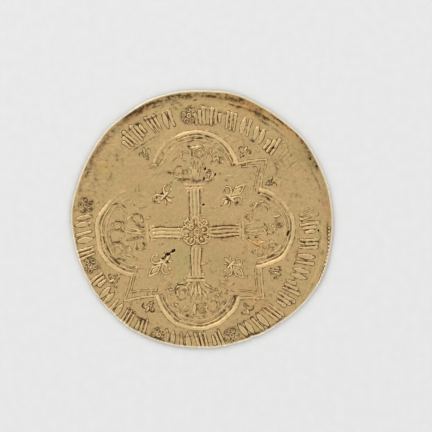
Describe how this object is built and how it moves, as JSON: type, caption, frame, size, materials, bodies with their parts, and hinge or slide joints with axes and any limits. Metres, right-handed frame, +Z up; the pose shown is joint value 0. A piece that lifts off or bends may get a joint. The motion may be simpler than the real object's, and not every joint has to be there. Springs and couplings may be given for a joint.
{
  "type": "gold coin",
  "caption": "Thin hammered gold coin of uneven outline, with a flowered cross in a border of lobes and corners on one side and a lamb on the other.",
  "frame": {"origin": "under the middle of the coin's outline, on the plane that its plain side rests on", "axes": "+Z goes up through the cross side, +Y towards the top of the cross as it is seen, +X to its right"},
  "size_m": [0.0308, 0.0302, 0.0005],
  "materials": {
    "gold": "worn hand-struck gold, matt, with brown toning at the feet of the figures"
  },
  "bodies": {
    "root": {"coin": "gold"}
  },
  "joints": []
}
